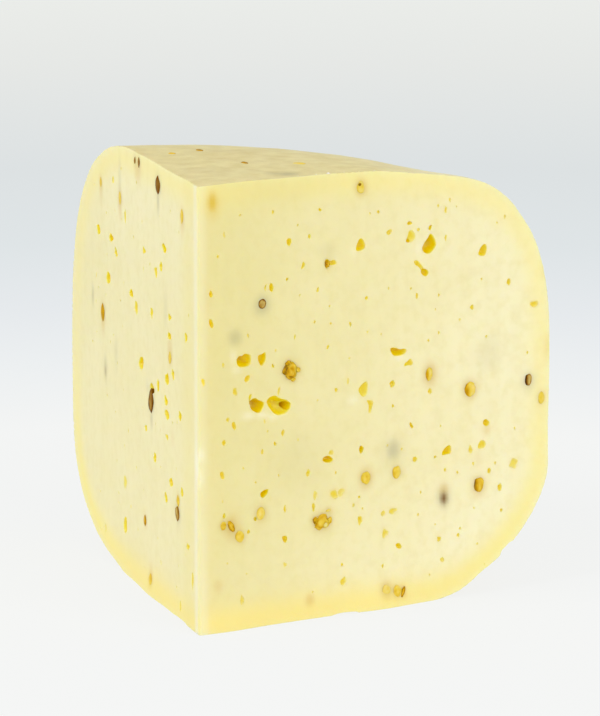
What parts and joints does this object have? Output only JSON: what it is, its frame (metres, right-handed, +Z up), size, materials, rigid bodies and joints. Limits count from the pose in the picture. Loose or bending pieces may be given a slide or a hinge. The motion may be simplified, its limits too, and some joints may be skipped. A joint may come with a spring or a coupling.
{
  "type": "cheese wedge",
  "caption": "Tall wedge of pale semi-hard cheese cut from a small round wheel, with rounded rim, small angular eyes and whole spice seeds in the paste.",
  "frame": {"origin": "on the base, under the middle of the wedge's box", "axes": "+Z up from the base; the point edge faces -Y, the rounded rim +Y, and the wedge is widest along X"},
  "size_m": [0.121, 0.0984, 0.1],
  "materials": {
    "cheese_paste": "satin",
    "cheese_skin": "satin",
    "golden_seed": "satin",
    "dark_seed": "satin"
  },
  "bodies": {
    "root": {"cheese": "cheese_paste"}
  },
  "joints": []
}
